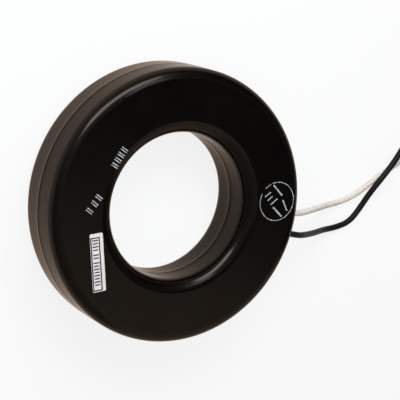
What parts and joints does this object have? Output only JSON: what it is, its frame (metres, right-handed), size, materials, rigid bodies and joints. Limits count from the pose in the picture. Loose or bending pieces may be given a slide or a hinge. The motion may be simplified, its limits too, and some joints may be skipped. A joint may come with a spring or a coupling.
{
  "type": "window current transformer",
  "caption": "Ring-shaped window current transformer: black moulded case, tape-wound steel core with a toroidal secondary winding, and insulated wire leads put away in tied coils.",
  "frame": {"origin": "centre of the window at the case's rear face, the face without the label", "axes": "+Z along the window, out of the front face with the label; the black lead leaves the wall 8.3 degrees round from +X and the white lead 17.1 degrees round from +X, both towards +Y"},
  "size_m": [0.227, 0.1909, 0.0291],
  "materials": {
    "case": "satin",
    "label": "matte",
    "core_steel": "satin",
    "pressboard": "matte",
    "enamelled_copper": "gloss",
    "winding_tape": "satin",
    "tinned_copper": "satin",
    "tinned_connector": "satin",
    "shrink_sleeve": "matte",
    "black_insulation": "satin",
    "white_insulation": "satin",
    "tie_nylon": "satin"
  },
  "bodies": {
    "root": {"front_cover": "case", "rear_cover": "case", "side_label": "label", "steel_core": "core_steel", "core_washer_front": "pressboard", "core_washer_rear": "pressboard", "core_sleeve_outer": "pressboard", "core_sleeve_inner": "pressboard", "secondary_winding": "enamelled_copper", "winding_tape": "winding_tape", "black_conductor": "tinned_copper", "white_conductor": "tinned_copper", "black_splice": "tinned_connector", "white_splice": "tinned_connector", "black_sleeve": "shrink_sleeve", "white_sleeve": "shrink_sleeve", "black_lead": "black_insulation", "white_lead": "white_insulation", "black_coil": "black_insulation", "white_coil": "white_insulation", "black_coil_tie": "tie_nylon", "white_coil_tie": "tie_nylon", "black_lead_end": "tinned_copper", "white_lead_end": "tinned_copper"}
  },
  "joints": []
}
